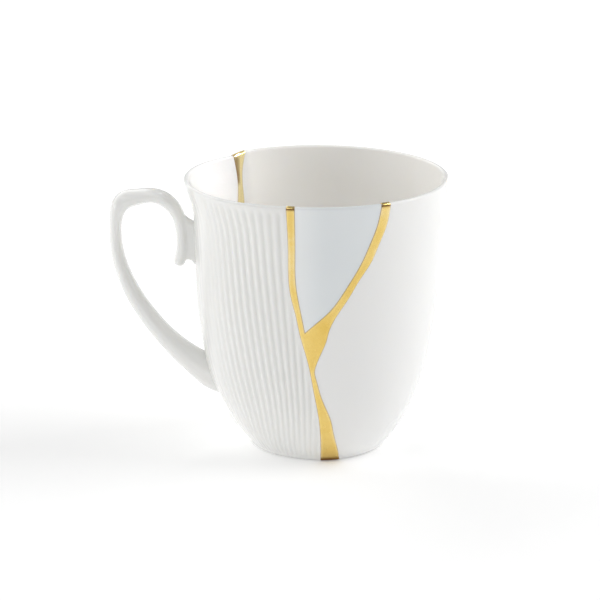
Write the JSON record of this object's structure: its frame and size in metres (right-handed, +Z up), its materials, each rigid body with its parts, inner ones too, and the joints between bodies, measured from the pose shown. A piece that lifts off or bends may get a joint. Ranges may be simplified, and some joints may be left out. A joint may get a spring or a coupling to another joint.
{
  "type": "kintsugi mug",
  "caption": "Porcelain mug pieced from a fluted shard with its handle, a pale rim shard and a smooth shard, joined by broad gold seams.",
  "frame": {"origin": "on the mug's own axis, in the plane that its foot stands on", "axes": "+Z up along the mug's axis; -X towards the handle, so +X to the right of a person who sees the front; -Y towards the front, where the forked gold seam is"},
  "size_m": [0.1133, 0.0874, 0.0928],
  "materials": {
    "ribbed_glaze": "gloss",
    "pale_blue_glaze": "gloss",
    "white_glaze": "gloss",
    "kintsugi_gold": "polished"
  },
  "bodies": {
    "root": {"ribbed_shard": "ribbed_glaze", "rim_shard": "pale_blue_glaze", "smooth_shard": "white_glaze", "gold_seam": "kintsugi_gold"}
  },
  "joints": []
}
